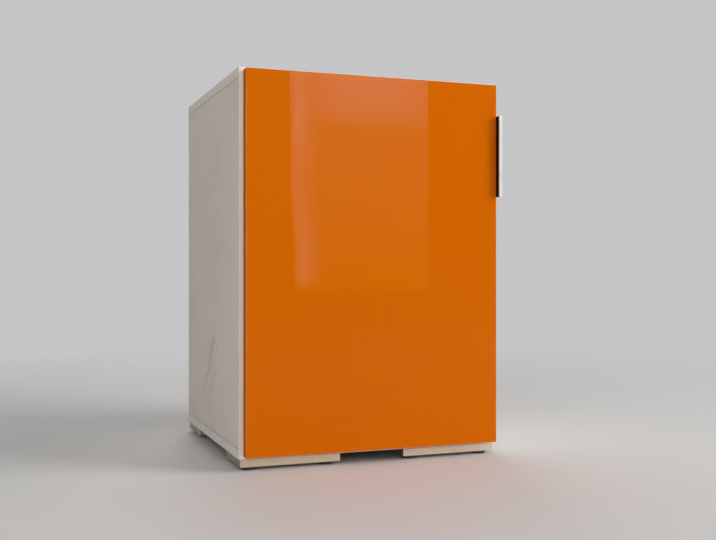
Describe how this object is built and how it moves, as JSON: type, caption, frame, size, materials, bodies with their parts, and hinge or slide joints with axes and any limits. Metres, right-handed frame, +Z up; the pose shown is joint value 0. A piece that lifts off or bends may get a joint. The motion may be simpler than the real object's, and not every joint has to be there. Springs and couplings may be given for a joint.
{
  "type": "office cabinet",
  "caption": "Low white board cabinet with a gloss orange door on concealed hinges, a metal edge pull, an inner shelf and low metal feet.",
  "frame": {"origin": "on the floor under the middle of the cabinet's whole footprint, door and handle included", "axes": "+Z up, the door faces -Y, +X to the right of someone facing the door"},
  "size_m": [0.436, 0.4384, 0.618],
  "materials": {
    "white_board": "white melamine on chipboard, satin",
    "white_hardboard": "white foil on hardboard, bare behind",
    "orange_lacquer": "high-gloss orange lacquer on fibreboard",
    "pull_aluminium": "anodised black, the front of the lip ground bright",
    "foot_aluminium": "brushed along, sawn ends, anodised",
    "black_plastic": "moulded",
    "white_plastic": "moulded",
    "zinc_steel": "zinc plated",
    "nickel_steel": "nickel plated",
    "die_cast_zinc": "as cast",
    "ferrite": "pressed and ground",
    "beech": "plain",
    "clear_rubber": "translucent"
  },
  "bodies": {
    "carcass": {"top_panel": "white_board", "bottom_panel": "white_board", "left_side_panel": "white_board", "right_side_panel": "white_board", "shelf": "white_board", "back_panel": "white_hardboard", "front_left_foot": "foot_aluminium", "front_right_foot": "foot_aluminium", "rear_left_foot": "foot_aluminium", "rear_right_foot": "foot_aluminium", "foot_glides": "black_plastic", "foot_screws": "zinc_steel", "cam_locks": "die_cast_zinc", "cam_bolts": "zinc_steel", "wood_dowels": "beech", "shelf_pins": "zinc_steel", "upper_hinge_plate": "nickel_steel", "lower_hinge_plate": "nickel_steel", "upper_hinge_arm": "nickel_steel", "lower_hinge_arm": "nickel_steel", "hinge_plate_screws": "zinc_steel", "hinge_arm_screws": "zinc_steel", "hinge_adjusting_screws": "zinc_steel", "catch_housing": "white_plastic", "catch_screws": "zinc_steel", "catch_magnet": "ferrite"},
    "door": {"door_panel": "orange_lacquer", "handle": "pull_aluminium", "handle_screws": "zinc_steel", "upper_hinge_cup": "nickel_steel", "lower_hinge_cup": "nickel_steel", "hinge_pins": "zinc_steel", "cup_screws": "zinc_steel", "strike_plate": "zinc_steel", "strike_screw": "zinc_steel", "door_bumpers": "clear_rubber"}
  },
  "joints": [
    {"name": "door_swing", "type": "hinge", "parent": "carcass", "child": "door", "pos_m": [-0.205, -0.20025, 0.318], "axis": [0, 0, -1], "range_deg": [0, 95]}
  ]
}
